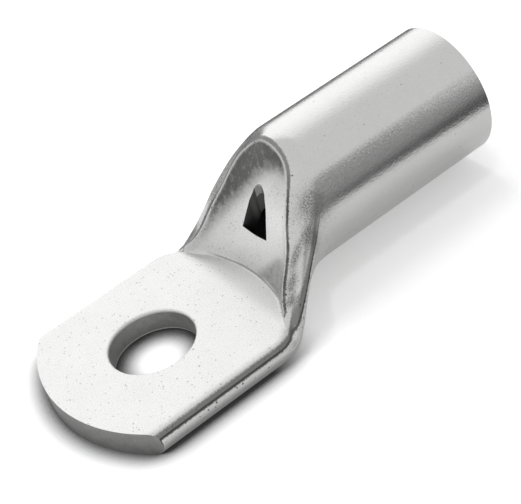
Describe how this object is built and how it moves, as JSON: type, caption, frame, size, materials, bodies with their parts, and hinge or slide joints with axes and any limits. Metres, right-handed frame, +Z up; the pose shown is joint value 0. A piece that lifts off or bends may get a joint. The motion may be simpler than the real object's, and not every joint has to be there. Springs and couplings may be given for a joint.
{
  "type": "cable lug",
  "caption": "Tinned copper tubular cable lug: a round barrel with a blind bore narrows through a scooped neck with an inspection window into a flat palm with a bolt hole.",
  "frame": {"origin": "centre of the bolt hole, on the palm's underside", "axes": "+X along the barrel towards its open mouth, +Z up out of the palm's top face, Y across the lug, which is the same on both sides of Y = 0"},
  "size_m": [0.0607, 0.0266, 0.0181],
  "materials": {
    "tinned_copper": "matt to satin electroplated tin over copper, silver grey, fine grained and slightly mottled, brighter on the drawn barrel"
  },
  "bodies": {
    "root": {"cable_lug": "tinned_copper"}
  },
  "joints": []
}
